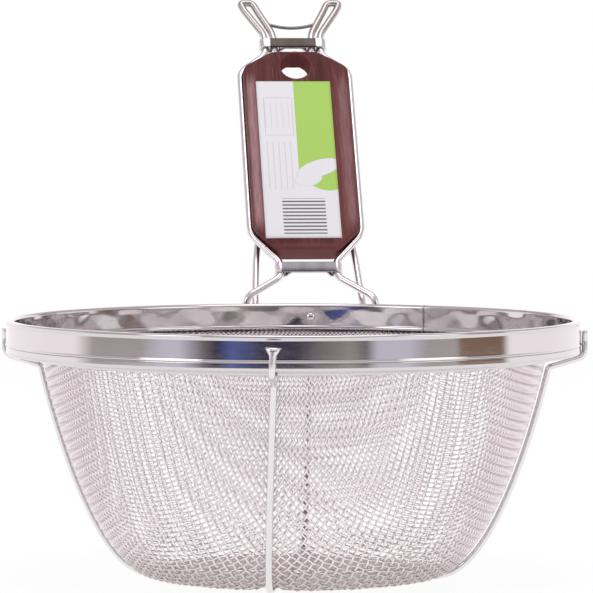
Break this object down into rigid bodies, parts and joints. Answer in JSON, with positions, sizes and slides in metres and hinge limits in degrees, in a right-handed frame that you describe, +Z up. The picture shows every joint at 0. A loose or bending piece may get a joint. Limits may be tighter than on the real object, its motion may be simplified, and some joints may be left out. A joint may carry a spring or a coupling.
{
  "type": "strainer basket",
  "caption": "Round steel mesh strainer basket with a polished folded rim, crossed wire ribs under the bowl and a flat wooden grip held upright at the back by bent wires and clips.",
  "frame": {"origin": "on the basket's axis, on the table that the strainer stands on", "axes": "+Z up along the basket's axis, +Y towards the handle, +X to the right of a person who faces it from the side opposite the handle"},
  "size_m": [0.1936, 0.2684, 0.1934],
  "materials": {
    "polished_steel": "polished",
    "woven_mesh": "bright wire",
    "steel_wire": "bright wire",
    "clip_steel": "dull grey",
    "stained_wood": "stained, satin",
    "label_paper": "matt"
  },
  "bodies": {
    "root": {"rim_band": "polished_steel", "clamp_ring": "polished_steel", "rim_core_wire": "steel_wire", "mesh_basket": "woven_mesh", "rib_front_back": "steel_wire", "rib_left_right": "steel_wire", "rib_pin_front": "steel_wire", "rib_pin_right": "steel_wire", "rib_pin_back": "steel_wire", "rib_pin_left": "steel_wire", "handle_wire_left": "steel_wire", "handle_wire_right": "steel_wire", "hook_wire": "steel_wire", "grip": "stained_wood", "grip_label": "label_paper", "low_clip": "clip_steel", "top_clip": "clip_steel"}
  },
  "joints": []
}
